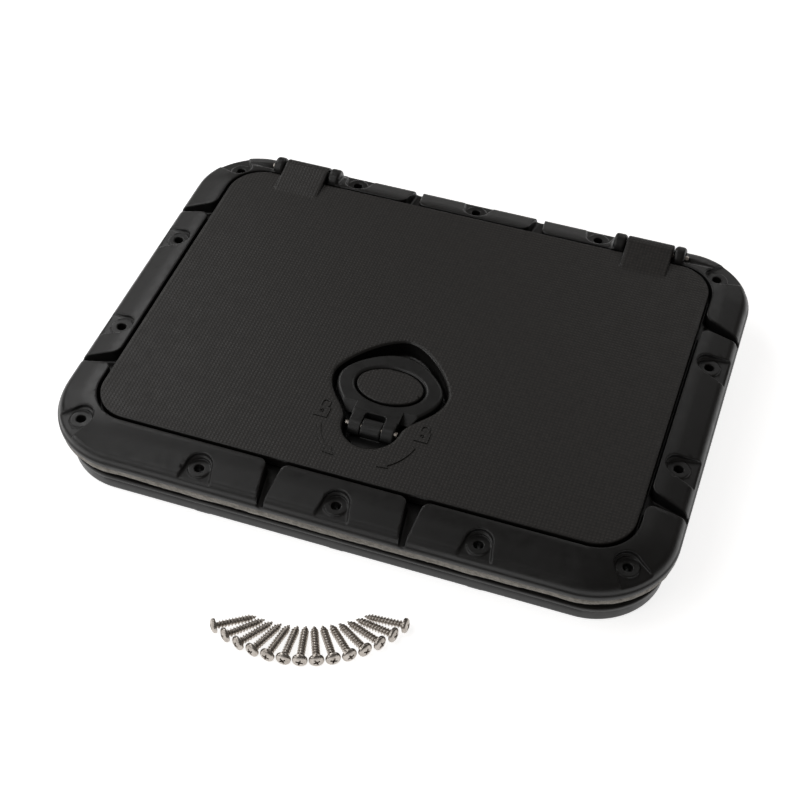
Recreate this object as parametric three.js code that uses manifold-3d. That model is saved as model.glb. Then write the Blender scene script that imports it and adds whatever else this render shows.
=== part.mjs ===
// A rectangular deck hatch for a small boat: a moulded frame with a foam gasket, a clamping ring for the
// underside of the deck, a hinged lid with a flush ring handle and a turning latch, and its mounting screws.
// Millimetres, +Z up. The hinges are at the back (+Y), and the floor that the hatch stands on is z = 0.
import * as THREE from "three";
import { mergeVertices } from "three/addons/utils/BufferGeometryUtils.js";
import Module from "manifold-3d";

const wasm = await Module();
wasm.setup();

// Clearances
const REST_GAP = 0.3;
const OVERSHOOT = 1;

// Lid
const LID_TOP = 46.5;
const LID_HALF_X = 175;
const LID_HALF_Y = 126;
const LID_CORNER = 25;
const LID_PLATE = 3;
const LID_SKIRT = 3;
const LID_SKIRT_DROP = 7.8;
const LID_RIB = 2;
const LID_RIB_DROP = 8.2;

// Frame flange, gutter and neck
const FLANGE_HALF_X = 202.8;
const FLANGE_FRONT = -156.2;
const FLANGE_BACK = 150.8;
const FLANGE_CORNER = 50;
const FLANGE_DEPTH = 15.8;
const FLANGE_ROUND = [22, 14];
const LID_GAP = 2;
const GUTTER_DROP = 10;
const NECK_INSET = 9;
const NECK_WALL = 3;
const COAMING_DROP = 6.5;

// Screw pockets and drain notches in the flange
const POCKET_DROP = 4.9;
const POCKET_RADIUS = 7.6;
const POCKET_MOUTH = 12;
const SCREW_HOLE_RADIUS = 2.9;
const COUNTERBORE_RADIUS = 6.9;
const COUNTERBORE_DEPTH = 1.1;
const NOTCH_INNER = 5.6;
const NOTCH_OUTER = 1.7;
const NOTCH_ROUND = 5;
const NOTCH_SKEW = 2.6;

// Foam gasket and backing ring
const GASKET_DEPTH = 4.6;
const GASKET_WIDTH = 20;
const GASKET_INSET = 0.8;
const RING_HEIGHT = 14.4;
const RING_INSET = 3.9;
const RING_FRONT = -149.8;
const RING_BACK = 147;
const RING_CORNER = 46.6;
const RING_PLATE = 3;
const RING_WALL = 2.8;
const RING_LIP = 1.8;
const BOSS_RADIUS = 5.5;
const PILOT_RADIUS = 1.9;

// Hinges
const HINGE_X = 127;
const HINGE_Y = 135.5;
const HINGE_Z = LID_TOP - 2;
const BARREL_RADIUS = 7.4;
const BARREL_HALF = 16.4;
const EAR_RADIUS = 7.6;
const EAR_INNER = 16.9;
const EAR_WIDTH = 6.5;
const PIN_RADIUS = 2;
const PIN_PROUD = 1;
const HINGE_BAY_DROP = 10.5;
const ARM_START_Y = 108.7;

// Latch: a flush ring handle in a recess of the lid, and a two-ended bar under it
const LATCH_Y = -81;
const RECESS_BACK = -7.4;
const RECESS_HALF_WIDTH = 37.3;
const RECESS_END_RADIUS = 18.4;
const RECESS_DEPTH = 13;
const RECESS_WALL = 2;
const RECESS_FLOOR = 2.5;
const HANDLE_BACK = -19.3;
const HANDLE_HALF_WIDTH = 34.6;
const HANDLE_TOP_DROP = 0.4;
const HANDLE_THICK = 6.2;
const HANDLE_PIVOT_DROP = 4;
const HANDLE_PIN_RADIUS = 1.9;
const LUG_RADIUS = 5.8;
const LUG_INNER = 6.9;
const LUG_OUTER = 15.6;
const FINGER_Y = -46;
const FINGER_RADII = [23, 15.7];
const ISLAND_MARGIN = 0.9;
const ISLAND_DROP = 0.3;
const POST_HALF_WIDTH = 6.2;
const POST_BASE_RADIUS = 14.5;
const POST_BASE_THICK = 2;
const SPINDLE_RADIUS = 6;
const SPINDLE_SQUARE = 8.4;
const LATCH_BOSS_RADIUS = 11;
const LATCH_BOSS_DROP = 1.5;
const WASHER_THICK = 1;
const BAR_LENGTH = 63;
const BAR_WIDTH = 14;
const BAR_THICK = 5;
const STRIKE_HALF = 30;
const STRIKE_REACH = 8;
const STRIKE_THICK = 4;
const STRIKE_CLEARANCE = 0.7;

// Loose mounting screws, fanned out on the floor in front of the hatch with their tips towards it
const SCREW_COUNT = 14;
const SCREW_HEAD_RADIUS = 4.6;
const SCREW_HEAD_HEIGHT = 3.2;
const SCREW_SHANK_RADIUS = 2.4;
const SCREW_LENGTH = 25.4;
const SCREW_POINT = 5.4;
const FAN_RADIUS = 77.3;
const FAN_CENTRE = [-11.4, -157.1];
const FAN_TURN = 19.2;
const FAN_HALF_ANGLE = 46.2;
const SCREW_HALF_TURN = 71;

const NECK_HALF_X = LID_HALF_X - NECK_INSET;
const NECK_HALF_Y = LID_HALF_Y - NECK_INSET;
const NECK_CORNER = LID_CORNER - NECK_INSET;
const FLANGE_BOTTOM = LID_TOP - FLANGE_DEPTH;
const RECESS_BOTTOM = LID_TOP - RECESS_DEPTH;
const HANDLE_PIVOT_Z = LID_TOP - HANDLE_PIVOT_DROP;
const BOSS_BOTTOM = RECESS_BOTTOM - RECESS_FLOOR - LATCH_BOSS_DROP;
const SPINDLE_TOP = RECESS_BOTTOM - REST_GAP;
const WASHER_TOP = BOSS_BOTTOM - REST_GAP;
const BAR_TOP = WASHER_TOP - WASHER_THICK - REST_GAP;
const BAR_BOTTOM = BAR_TOP - BAR_THICK;

const COLOURS = {
  frame: [0x151515, 0.5, 0],
  lid: [0x1b1a19, 0.62, 0],
  foam: [0xa9a298, 0.95, 0],
  rubber: [0x101010, 0.8, 0],
  steel: [0xb9b4aa, 0.32, 1],
  latch: [0x121212, 0.4, 0],
};

// ---------- shapes ----------

function roundedRect(halfX, front, back, radius) {
  const shape = new THREE.Shape();
  shape.absarc(halfX - radius, front + radius, radius, -Math.PI / 2, 0);
  shape.absarc(halfX - radius, back - radius, radius, 0, Math.PI / 2);
  shape.absarc(radius - halfX, back - radius, radius, Math.PI / 2, Math.PI);
  shape.absarc(radius - halfX, front + radius, radius, Math.PI, 1.5 * Math.PI);
  shape.closePath();
  return shape;
}

function lidOutline(grow) {
  return roundedRect(LID_HALF_X + grow, -LID_HALF_Y - grow, LID_HALF_Y + grow, LID_CORNER + grow);
}

function ellipseOutline([radiusX, radiusY], y, grow = 0) {
  return new THREE.Shape().absellipse(0, y, radiusX + grow, radiusY + grow, 0, 2 * Math.PI);
}

// The bell-shaped outline of the latch recess; the ring handle has the same outline, further in.
function bellOutline(backY, halfWidth, endRadius) {
  const shape = new THREE.Shape();
  const widestY = FINGER_Y + 1;
  shape.absarc(0, LATCH_Y, endRadius, Math.PI, 2 * Math.PI);
  shape.bezierCurveTo(endRadius + 1, -70, halfWidth, -62, halfWidth, widestY);
  shape.bezierCurveTo(halfWidth, widestY + 14, 15, backY, 0, backY);
  shape.bezierCurveTo(-15, backY, -halfWidth, widestY + 14, -halfWidth, widestY);
  shape.bezierCurveTo(-halfWidth, -62, -endRadius - 1, -70, -endRadius, LATCH_Y);
  return shape;
}

// ---------- solids ----------

function solid(geometry, matrix = new THREE.Matrix4()) {
  const placed = geometry.clone().applyMatrix4(matrix);
  placed.deleteAttribute("normal");
  placed.deleteAttribute("uv");
  const merged = mergeVertices(placed, 1e-4);
  return new wasm.Manifold(
    new wasm.Mesh({
      numProp: 3,
      vertProperties: merged.getAttribute("position").array,
      triVerts: new Uint32Array(merged.index.array),
    }),
  );
}

function prism(shape, bottom, top, segments = 5) {
  const options = { depth: top - bottom, bevelEnabled: false, curveSegments: segments };
  return solid(new THREE.ExtrudeGeometry(shape, options), new THREE.Matrix4().setPosition(0, 0, bottom));
}

// A prism whose top edge is rounded, over some width inwards and some depth downwards.
function roundedPrism(shape, bottom, top, [width, depth], segments, roundSteps) {
  const options = {
    depth: top - depth - bottom,
    curveSegments: segments,
    bevelThickness: depth,
    bevelSize: width,
    bevelOffset: -width,
    bevelSegments: roundSteps,
  };
  const place = new THREE.Matrix4().setPosition(0, 0, bottom);
  const whole = solid(new THREE.ExtrudeGeometry(shape, options), place);
  return whole.subtract(box([-500, -500, bottom - depth - OVERSHOOT], [500, 500, bottom]));
}

function box(low, high) {
  const size = high.map((value, axis) => value - low[axis]);
  const centre = high.map((value, axis) => (value + low[axis]) / 2);
  return solid(new THREE.BoxGeometry(...size), new THREE.Matrix4().setPosition(...centre));
}

function cylinderZ(radius, x, y, bottom, top, sides = 16) {
  const upright = new THREE.Matrix4().makeRotationX(Math.PI / 2).setPosition(x, y, (bottom + top) / 2);
  return solid(new THREE.CylinderGeometry(radius, radius, top - bottom, sides), upright);
}

function cylinderX(radius, fromX, toX, y, z, sides = 20) {
  const across = new THREE.Matrix4().makeRotationZ(Math.PI / 2).setPosition((fromX + toX) / 2, y, z);
  return solid(new THREE.CylinderGeometry(radius, radius, Math.abs(toX - fromX), sides), across);
}

// A profile in the Y-Z plane, given as [y, z] points anticlockwise, extruded along X.
function slabX(points, fromX, toX) {
  const shape = new THREE.Shape(points.map(([y, z]) => new THREE.Vector2(y, z)));
  const geometry = new THREE.ExtrudeGeometry(shape, { depth: toX - fromX, bevelEnabled: false });
  const alongX = new THREE.Matrix4().set(0, 0, 1, fromX, 1, 0, 0, 0, 0, 1, 0, 0, 0, 0, 0, 1);
  return solid(geometry, alongX);
}

function turned(profile, sides) {
  return new THREE.LatheGeometry(
    profile.map(([radius, height]) => new THREE.Vector2(radius, height)),
    sides,
  );
}

function union(solids) {
  return solids.reduce((joined, piece) => joined.add(piece));
}

function cut(body, tools) {
  return tools.reduce((left, tool) => left.subtract(tool), body);
}

function material([color, roughness, metalness]) {
  return new THREE.MeshStandardMaterial({ color, roughness, metalness });
}

function meshOf(name, body, finish) {
  const data = body.getMesh();
  const geometry = new THREE.BufferGeometry();
  geometry.setAttribute("position", new THREE.BufferAttribute(new Float32Array(data.vertProperties), 3));
  geometry.setIndex(new THREE.BufferAttribute(new Uint32Array(data.triVerts), 1));
  geometry.computeVertexNormals();
  const mesh = new THREE.Mesh(geometry, material(finish));
  mesh.name = name;
  return mesh;
}

// ---------- places that repeat round the flange ----------

// Each screw place: its x and y, and the direction in which its pocket opens, in degrees.
function screwPlaces() {
  const places = [];
  for (const x of [-89.8, 0, 89.8]) {
    places.push({ x, y: -144.2, turn: -90 });
    places.push({ x, y: 138.6, turn: 90 });
  }
  for (const side of [-1, 1]) {
    const outward = side > 0 ? 0 : 180;
    places.push({ x: side * 188.6, y: -48.4, turn: outward });
    places.push({ x: side * 188.6, y: 42.6, turn: outward });
    places.push({ x: side * 176.8, y: -131.3, turn: outward - side * 45 });
    places.push({ x: side * 176.5, y: 126.2, turn: outward + side * 45 });
  }
  return places;
}

// Each drain notch: where it leaves the lid gap, its direction, the width of flange that it crosses, and how
// far its outer end lies to the left of its direction.
function notchPlaces() {
  const places = [];
  for (const side of [-1, 1]) {
    places.push({ x: side * 45.5, y: -LID_HALF_Y, turn: -90, run: -LID_HALF_Y - FLANGE_FRONT, skew: 0 });
    places.push({ x: side * 45.5, y: LID_HALF_Y, turn: 90, run: FLANGE_BACK - LID_HALF_Y, skew: 0 });
    for (const y of [-80, 76.5]) {
      const run = FLANGE_HALF_X - LID_HALF_X;
      places.push({ x: side * LID_HALF_X, y, turn: side > 0 ? 0 : 180, run, skew: -side * NOTCH_SKEW });
    }
  }
  return places;
}

function atPlace({ x, y, turn }) {
  return new THREE.Matrix4().makeRotationZ(THREE.MathUtils.degToRad(turn)).setPosition(x, y, 0);
}

function screwPocket(place) {
  const reach = 34;
  const outline = new THREE.Shape();
  outline.absarc(0, 0, POCKET_RADIUS, Math.PI / 2, 1.5 * Math.PI);
  outline.lineTo(2, -POCKET_RADIUS);
  outline.lineTo(14, -POCKET_MOUTH);
  outline.lineTo(reach, -POCKET_MOUTH);
  outline.lineTo(reach, POCKET_MOUTH);
  outline.lineTo(14, POCKET_MOUTH);
  outline.lineTo(2, POCKET_RADIUS);
  outline.closePath();
  const floor = LID_TOP - POCKET_DROP;
  const pocket = prism(outline, floor, LID_TOP + OVERSHOOT, 3);
  const seat = cylinderZ(COUNTERBORE_RADIUS, 0, 0, floor - COUNTERBORE_DEPTH, floor + OVERSHOOT, 12);
  const hole = cylinderZ(SCREW_HOLE_RADIUS, 0, 0, FLANGE_BOTTOM - OVERSHOOT, floor, 8);
  return union([pocket, seat, hole]).transform(atPlace(place).elements);
}

function drainNotch(place) {
  const reach = place.run + 4;
  const inner = LID_GAP - OVERSHOOT;
  const outline = new THREE.Shape();
  outline.moveTo(inner, -NOTCH_INNER - NOTCH_ROUND);
  outline.quadraticCurveTo(inner + 1, -NOTCH_INNER, inner + NOTCH_ROUND, -NOTCH_INNER + 0.8);
  outline.lineTo(reach, place.skew - NOTCH_OUTER);
  outline.lineTo(reach, place.skew + NOTCH_OUTER);
  outline.lineTo(inner + NOTCH_ROUND, NOTCH_INNER - 0.8);
  outline.quadraticCurveTo(inner + 1, NOTCH_INNER, inner, NOTCH_INNER + NOTCH_ROUND);
  outline.closePath();
  const notch = prism(outline, LID_TOP - GUTTER_DROP, LID_TOP + OVERSHOOT, 3);
  return notch.transform(atPlace(place).elements);
}

// ---------- frame, gasket and backing ring ----------

function neck(grow, bottom, top) {
  const halfX = NECK_HALF_X + grow;
  const halfY = NECK_HALF_Y + grow;
  return prism(roundedRect(halfX, -halfY, halfY, NECK_CORNER + grow), bottom, top, 3);
}

function hingeEars(side) {
  const ears = [];
  for (const outward of [-1, 1]) {
    const near = side * HINGE_X + outward * EAR_INNER;
    const far = near + outward * EAR_WIDTH;
    const [low, high] = [Math.min(near, far), Math.max(near, far)];
    ears.push(cylinderX(EAR_RADIUS, low, high, HINGE_Y, HINGE_Z));
    ears.push(box([low, HINGE_Y - EAR_RADIUS, FLANGE_BOTTOM + 2], [high, HINGE_Y + EAR_RADIUS, HINGE_Z]));
  }
  return union(ears);
}

function hingeBay(side) {
  const [low, high] = [side * HINGE_X - EAR_INNER, side * HINGE_X + EAR_INNER];
  return box([low, LID_HALF_Y, LID_TOP - HINGE_BAY_DROP], [high, FLANGE_BACK + 5, LID_TOP + 20]);
}

// The scoop beside the outer ear, from which the hinge pin goes in.
function pinScoop(side) {
  const start = HINGE_X + EAR_INNER + EAR_WIDTH;
  const outline = new THREE.Shape();
  outline.moveTo(start, HINGE_Z - 5);
  outline.lineTo(start + 6, HINGE_Z - 5);
  outline.lineTo(start + 26, LID_TOP + OVERSHOOT);
  outline.lineTo(start, LID_TOP + OVERSHOOT);
  outline.closePath();
  const wedge = new THREE.ExtrudeGeometry(outline, { depth: 8, bevelEnabled: false });
  const alongY = new THREE.Matrix4().makeRotationX(Math.PI / 2).setPosition(0, HINGE_Y + 4, 0);
  const scoop = solid(wedge, alongY);
  return side > 0 ? scoop : scoop.mirror([1, 0, 0]);
}

function pinHole(side) {
  const inner = HINGE_X - EAR_INNER - EAR_WIDTH + 2;
  const outer = HINGE_X + EAR_INNER + EAR_WIDTH + 4;
  return cylinderX(PIN_RADIUS + REST_GAP, side * inner, side * outer, HINGE_Y, HINGE_Z, 12);
}

// The ledge on the neck's front wall that the latch bar turns under.
function strikeLedge() {
  const wallY = -NECK_HALF_Y + NECK_WALL;
  const bottom = BAR_TOP + STRIKE_CLEARANCE;
  const outline = new THREE.Shape();
  outline.moveTo(-STRIKE_HALF - 6, wallY - 1);
  outline.lineTo(STRIKE_HALF + 6, wallY - 1);
  outline.lineTo(STRIKE_HALF, wallY + STRIKE_REACH);
  outline.lineTo(-STRIKE_HALF, wallY + STRIKE_REACH);
  outline.closePath();
  return prism(outline, bottom, bottom + STRIKE_THICK);
}

function frame() {
  const flangeOutline = roundedRect(FLANGE_HALF_X, FLANGE_FRONT, FLANGE_BACK, FLANGE_CORNER);
  const flange = roundedPrism(flangeOutline, FLANGE_BOTTOM, LID_TOP, FLANGE_ROUND, 7, 5);
  const gutterFloor = LID_TOP - GUTTER_DROP;
  const opened = cut(flange, [
    prism(lidOutline(LID_GAP), gutterFloor, LID_TOP + OVERSHOOT),
    hingeBay(-1),
    hingeBay(1),
    pinScoop(-1),
    pinScoop(1),
    ...screwPlaces().map(screwPocket),
    ...notchPlaces().map(drainNotch),
  ]);
  const walls = union([opened, neck(0, 0, LID_TOP - COAMING_DROP), hingeEars(-1), hingeEars(1)]);
  const pierced = cut(walls, [neck(-NECK_WALL, -OVERSHOOT, LID_TOP), pinHole(-1), pinHole(1)]);
  return pierced.add(strikeLedge());
}

function frameGasket() {
  const outer = roundedRect(
    FLANGE_HALF_X - GASKET_INSET,
    FLANGE_FRONT + GASKET_INSET,
    FLANGE_BACK - GASKET_INSET,
    FLANGE_CORNER - GASKET_INSET,
  );
  const inset = GASKET_INSET + GASKET_WIDTH;
  const inner = roundedRect(
    FLANGE_HALF_X - inset,
    FLANGE_FRONT + inset,
    FLANGE_BACK - inset,
    FLANGE_CORNER - inset,
  );
  const top = FLANGE_BOTTOM - REST_GAP;
  const bottom = top - GASKET_DEPTH;
  const holes = screwPlaces().map(({ x, y }) =>
    cylinderZ(SCREW_HOLE_RADIUS, x, y, bottom - OVERSHOOT, top + OVERSHOOT, 8),
  );
  return cut(prism(outer, bottom, top), [prism(inner, bottom - OVERSHOOT, top + OVERSHOOT), ...holes]);
}

function ringOutline(inset) {
  const halfX = FLANGE_HALF_X - RING_INSET - inset;
  return roundedRect(halfX, RING_FRONT + inset, RING_BACK - inset, RING_CORNER - inset);
}

function backingRing() {
  const plateBottom = RING_HEIGHT - RING_PLATE;
  const wallInset = RING_LIP + RING_WALL;
  const throat = 1;
  const wall = prism(ringOutline(RING_LIP), 0, plateBottom + 0.5);
  const shell = union([
    prism(ringOutline(0), plateBottom, RING_HEIGHT),
    wall,
  ]);
  const channel = prism(ringOutline(wallInset), -OVERSHOOT, plateBottom).subtract(
    neck(throat + RING_WALL, -2 * OVERSHOOT, plateBottom + OVERSHOOT),
  );
  const hollow = cut(shell, [channel, neck(throat, -OVERSHOOT, RING_HEIGHT + OVERSHOOT)]);
  const bosses = screwPlaces().map(({ x, y }) => {
    return cylinderZ(BOSS_RADIUS, x, y, 0, plateBottom + 0.5, 8).intersect(wall);
  });
  const pilots = screwPlaces().map(({ x, y }) =>
    cylinderZ(PILOT_RADIUS, x, y, -OVERSHOOT, RING_HEIGHT + OVERSHOOT, 6),
  );
  return cut(union([hollow, ...bosses]), pilots);
}

function hingePin(side) {
  const inner = HINGE_X - EAR_INNER - EAR_WIDTH + 2 + REST_GAP;
  const outer = HINGE_X + EAR_INNER + EAR_WIDTH + PIN_PROUD;
  return cylinderX(PIN_RADIUS, side * inner, side * outer, HINGE_Y, HINGE_Z, 12);
}

// ---------- lid ----------

function recessOutline(grow) {
  return bellOutline(RECESS_BACK + grow, RECESS_HALF_WIDTH + grow, RECESS_END_RADIUS + grow);
}

function hingeArm(side) {
  const [low, high] = [side * HINGE_X - BARREL_HALF, side * HINGE_X + BARREL_HALF];
  const toAxis = Math.hypot(HINGE_Y - ARM_START_Y, LID_TOP - HINGE_Z);
  const slope = Math.asin(BARREL_RADIUS / toAxis) - Math.atan2(LID_TOP - HINGE_Z, HINGE_Y - ARM_START_Y);
  const run = Math.sqrt(toAxis ** 2 - BARREL_RADIUS ** 2);
  const tangent = [ARM_START_Y + run * Math.cos(slope), LID_TOP + run * Math.sin(slope)];
  const underside = LID_TOP - LID_SKIRT_DROP;
  const arm = slabX(
    [
      [ARM_START_Y, LID_TOP - LID_PLATE / 2],
      [LID_HALF_Y - LID_SKIRT, LID_TOP - LID_PLATE / 2],
      [LID_HALF_Y - LID_SKIRT, underside],
      [HINGE_Y - 3, underside],
      [HINGE_Y, HINGE_Z],
      tangent,
      [ARM_START_Y, LID_TOP],
    ],
    low,
    high,
  );
  return arm.add(cylinderX(BARREL_RADIUS, low, high, HINGE_Y, HINGE_Z));
}

function lidRibs() {
  const top = LID_TOP - LID_PLATE + 0.5;
  const bottom = LID_TOP - LID_RIB_DROP;
  const [halfX, halfY] = [NECK_HALF_X - NECK_WALL - 5, NECK_HALF_Y - NECK_WALL - 5];
  const rim = prism(roundedRect(halfX, -halfY, halfY, 9), bottom, top, 2).subtract(
    prism(roundedRect(halfX - LID_RIB, LID_RIB - halfY, halfY - LID_RIB, 7), bottom - 1, top + 1, 2),
  );
  const ribs = [rim];
  for (const x of [-106, -53, 0, 53, 106]) {
    ribs.push(box([x - LID_RIB / 2, 1 - halfY, bottom], [x + LID_RIB / 2, halfY - 1, top]));
  }
  for (const y of [-60, 0, 60]) {
    ribs.push(box([1 - halfX, y - LID_RIB / 2, bottom], [halfX - 1, y + LID_RIB / 2, top]));
  }
  return union(ribs);
}

// The two ribs' outer one: it holds the seal against the pull of the coaming.
function sealRetainer() {
  const grow = 3;
  const [bottom, top] = [LID_TOP - 5.5, LID_TOP - LID_PLATE + 0.5];
  return neck(grow + LID_RIB, bottom, top).subtract(neck(grow, bottom - OVERSHOOT, top + OVERSHOOT));
}

function lidPanel() {
  const plateBottom = LID_TOP - LID_PLATE;
  const skirtBottom = LID_TOP - LID_SKIRT_DROP;
  const shell = roundedPrism(lidOutline(0), skirtBottom, LID_TOP, [1, 1], 6, 1).subtract(
    prism(lidOutline(-LID_SKIRT), skirtBottom - OVERSHOOT, plateBottom),
  );
  const floorBottom = RECESS_BOTTOM - RECESS_FLOOR;
  const cup = prism(recessOutline(RECESS_WALL), floorBottom, plateBottom, 8);
  const body = union([
    shell,
    lidRibs(),
    sealRetainer(),
    hingeArm(-1),
    hingeArm(1),
    cup,
    cylinderZ(LATCH_BOSS_RADIUS, 0, LATCH_Y, BOSS_BOTTOM, RECESS_BOTTOM - 1, 20),
  ]);
  const island = prism(
    ellipseOutline(FINGER_RADII, FINGER_Y, -ISLAND_MARGIN),
    RECESS_BOTTOM - 0.5,
    LID_TOP - ISLAND_DROP,
    14,
  );
  const hinge = cylinderX(PIN_RADIUS + REST_GAP, -HINGE_X - 30, HINGE_X + 30, HINGE_Y, HINGE_Z, 12);
  const opened = cut(body, [prism(recessOutline(0), RECESS_BOTTOM, LID_TOP + OVERSHOOT, 8), hinge]);
  const bore = cylinderZ(SPINDLE_RADIUS + REST_GAP, 0, LATCH_Y, BOSS_BOTTOM - 1, RECESS_BOTTOM + 1, 20);
  const groove = cylinderZ(SPINDLE_RADIUS + 1.6, 0, LATCH_Y, RECESS_BOTTOM - 3, RECESS_BOTTOM - 1, 20);
  return cut(opened.add(island), [bore, groove]);
}

function lidSeal() {
  const [inner, outer] = [-5.2, 2.7];
  const top = LID_TOP - LID_PLATE - REST_GAP;
  const bottom = LID_TOP - COAMING_DROP + REST_GAP;
  return neck(outer, bottom, top).subtract(neck(inner, bottom - OVERSHOOT, top + OVERSHOOT));
}

// ---------- handle and latch ----------

function handleRing() {
  const top = LID_TOP - HANDLE_TOP_DROP;
  const bottom = top - HANDLE_THICK;
  const outside = bellOutline(HANDLE_BACK, HANDLE_HALF_WIDTH, LUG_OUTER);
  const loop = roundedPrism(outside, bottom, top, [2, 2], 8, 2);
  const trimmed = loop.subtract(box([-40, -120, 0], [40, LATCH_Y, 80]));
  const lugs = cylinderX(LUG_RADIUS, -LUG_OUTER, LUG_OUTER, LATCH_Y, HANDLE_PIVOT_Z, 20);
  const finger = prism(ellipseOutline(FINGER_RADII, FINGER_Y), bottom - OVERSHOOT, top + OVERSHOOT, 14);
  const slot = box([-LUG_INNER, LATCH_Y - 20, 0], [LUG_INNER, LATCH_Y + 9.2, 80]);
  const hole = cylinderX(HANDLE_PIN_RADIUS + REST_GAP, -40, 40, LATCH_Y, HANDLE_PIVOT_Z, 12);
  return cut(trimmed.add(lugs), [finger, slot, hole]);
}

function handlePin() {
  return cylinderX(HANDLE_PIN_RADIUS, -LUG_OUTER - 1.2, LUG_OUTER + 1.2, LATCH_Y, HANDLE_PIVOT_Z, 12);
}

// The block that stands between the handle's lugs and carries its pin.
function latchPost() {
  const bottom = RECESS_BOTTOM + REST_GAP;
  const base = cylinderZ(POST_BASE_RADIUS, 0, LATCH_Y, bottom, bottom + POST_BASE_THICK, 24);
  const post = slabX(
    [
      [LATCH_Y - 6, bottom + 1],
      [LATCH_Y + 5, bottom + 1],
      [LATCH_Y + 5, LID_TOP - 1],
      [LATCH_Y + 4, LID_TOP - 0.5],
      [LATCH_Y - 1, LID_TOP - 0.5],
      [LATCH_Y - 6, LID_TOP - 4],
    ],
    -POST_HALF_WIDTH,
    POST_HALF_WIDTH,
  );
  const hole = cylinderX(HANDLE_PIN_RADIUS + REST_GAP, -20, 20, LATCH_Y, HANDLE_PIVOT_Z, 12);
  return base.add(post).subtract(hole);
}

function latchSpindle() {
  const round = cylinderZ(SPINDLE_RADIUS, 0, LATCH_Y, WASHER_TOP + REST_GAP, SPINDLE_TOP, 20);
  const half = SPINDLE_SQUARE / 2;
  const square = box([-half, LATCH_Y - half, BAR_BOTTOM + 0.3], [half, LATCH_Y + half, WASHER_TOP + 1]);
  const grooveTop = RECESS_BOTTOM - 1;
  const groove = cylinderZ(SPINDLE_RADIUS + 1, 0, LATCH_Y, grooveTop - 2, grooveTop, 20).subtract(
    cylinderZ(SPINDLE_RADIUS - 0.9, 0, LATCH_Y, grooveTop - 3, grooveTop + 1, 20),
  );
  const pilot = cylinderZ(2.3, 0, LATCH_Y, BAR_BOTTOM - 1, SPINDLE_TOP - 2, 10);
  return cut(round.add(square), [groove, pilot]);
}

function spindleSeal() {
  const centre = (SPINDLE_RADIUS - 0.6 + SPINDLE_RADIUS + 1.3) / 2;
  const section = 0.85;
  const profile = [];
  const steps = 6;
  for (let step = 0; step <= steps; step += 1) {
    const angle = (step / steps) * 2 * Math.PI;
    profile.push([centre + section * Math.cos(angle), section * Math.sin(angle)]);
  }
  const upright = new THREE.Matrix4().makeRotationX(Math.PI / 2).setPosition(0, LATCH_Y, RECESS_BOTTOM - 2);
  return solid(turned(profile, 14), upright);
}

function thrustWasher() {
  const outer = cylinderZ(LATCH_BOSS_RADIUS, 0, LATCH_Y, WASHER_TOP - WASHER_THICK, WASHER_TOP, 20);
  return outer.subtract(cylinderZ(SPINDLE_RADIUS + 0.8, 0, LATCH_Y, 0, LID_TOP, 20));
}

function latchBar() {
  const half = BAR_LENGTH / 2;
  const outline = new THREE.Shape();
  outline.absarc(half - BAR_WIDTH / 2, LATCH_Y, BAR_WIDTH / 2, -Math.PI / 2, Math.PI / 2);
  outline.absarc(BAR_WIDTH / 2 - half, LATCH_Y, BAR_WIDTH / 2, Math.PI / 2, 1.5 * Math.PI);
  outline.closePath();
  const eye = SPINDLE_SQUARE / 2 + REST_GAP;
  const hub = cylinderZ(BAR_WIDTH / 2 + 2.5, 0, LATCH_Y, BAR_BOTTOM, BAR_TOP, 20);
  const square = box([-eye, LATCH_Y - eye, 0], [eye, LATCH_Y + eye, LID_TOP]);
  return prism(outline, BAR_BOTTOM, BAR_TOP, 8).add(hub).subtract(square);
}

function barWasher() {
  const top = BAR_BOTTOM - REST_GAP;
  const outer = cylinderZ(8, 0, LATCH_Y, top - WASHER_THICK, top, 16);
  return outer.subtract(cylinderZ(2.4, 0, LATCH_Y, 0, LID_TOP, 10));
}

function barScrew() {
  const seat = BAR_BOTTOM - WASHER_THICK - 2 * REST_GAP;
  const head = cylinderZ(4.2, 0, LATCH_Y, seat - 2.6, seat, 14);
  return head.add(cylinderZ(1.95, 0, LATCH_Y, seat - 1, SPINDLE_TOP - 2.5, 10));
}

// ---------- loose screws ----------

// A pan-head screw on its side: its tip points along the local +Y, and it rests on its head and its thread.
function mountingScrew(number) {
  const point = SCREW_LENGTH - SCREW_POINT;
  const profile = [
    [0, -SCREW_HEAD_HEIGHT],
    [SCREW_HEAD_RADIUS * 0.7, -SCREW_HEAD_HEIGHT * 0.9],
    [SCREW_HEAD_RADIUS, -SCREW_HEAD_HEIGHT * 0.4],
    [SCREW_HEAD_RADIUS, 0],
    [SCREW_SHANK_RADIUS, 0],
    [SCREW_SHANK_RADIUS, point],
    [0, SCREW_LENGTH],
  ];
  const share = (2 * number) / (SCREW_COUNT - 1) - 1;
  const along = THREE.MathUtils.degToRad(share * FAN_HALF_ANGLE);
  const turn = THREE.MathUtils.degToRad(share * SCREW_HALF_TURN);
  const tilt = Math.atan2(SCREW_HEAD_RADIUS - SCREW_SHANK_RADIUS, point);
  const name = "mounting_screw_" + String(number + 1).padStart(2, "0");
  const mesh = meshOf(name, solid(turned(profile, 10)), COLOURS.steel);
  mesh.rotation.set(-tilt, 0, turn, "ZXY");
  mesh.position.set(FAN_RADIUS * Math.sin(along), -FAN_RADIUS * Math.cos(along), 0);
  mesh.position.z = -new THREE.Box3().setFromObject(mesh, true).min.z;
  return mesh;
}

function screwFan() {
  const fan = new THREE.Group();
  for (let number = 0; number < SCREW_COUNT; number += 1) {
    fan.add(mountingScrew(number));
  }
  fan.position.set(...FAN_CENTRE, 0);
  fan.rotation.z = THREE.MathUtils.degToRad(FAN_TURN);
  return fan;
}

// ---------- assembly ----------

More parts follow.
